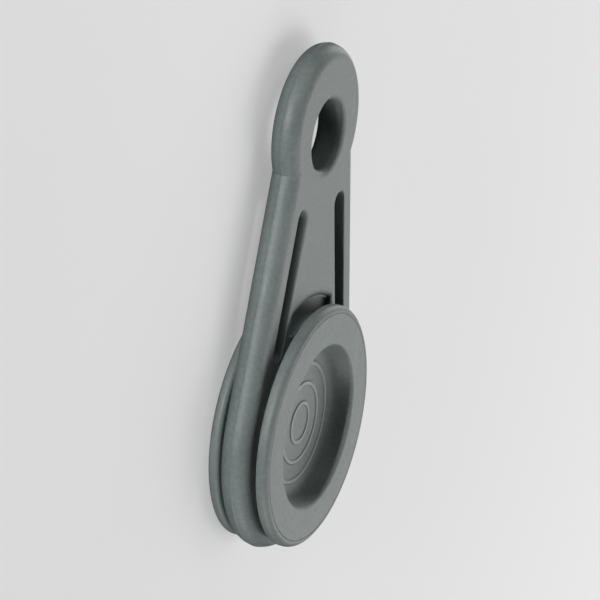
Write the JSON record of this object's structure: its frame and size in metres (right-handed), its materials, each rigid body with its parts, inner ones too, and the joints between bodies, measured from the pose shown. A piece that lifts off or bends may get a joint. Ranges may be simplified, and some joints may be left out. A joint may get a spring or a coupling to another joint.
{
  "type": "tarp clip",
  "caption": "Round press-together tarp clip: a cupped front button plugs into a back socket through a swivelling slotted arm with a cord eye.",
  "frame": {"origin": "centre of the back socket's flat rear face, on the disc axis", "axes": "+Z along the disc axis out of the front button, +X along the arm towards the eye"},
  "size_m": [0.0836, 0.0422, 0.0103],
  "materials": {
    "graphite_plastic": "satin moulded graphite-grey plastic"
  },
  "bodies": {
    "back_socket": {"back_socket": "graphite_plastic"},
    "eye_arm": {"eye_arm": "graphite_plastic"},
    "front_button": {"front_button": "graphite_plastic"}
  },
  "joints": [
    {"name": "arm_swivel", "type": "hinge", "parent": "back_socket", "child": "eye_arm", "pos_m": [0, 0, 0.00455], "axis": [0, 0, 1], "continuous": true},
    {"name": "button_pull", "type": "slide", "parent": "back_socket", "child": "front_button", "axis": [0, 0, 1], "range_m": [0, 0.008]}
  ]
}
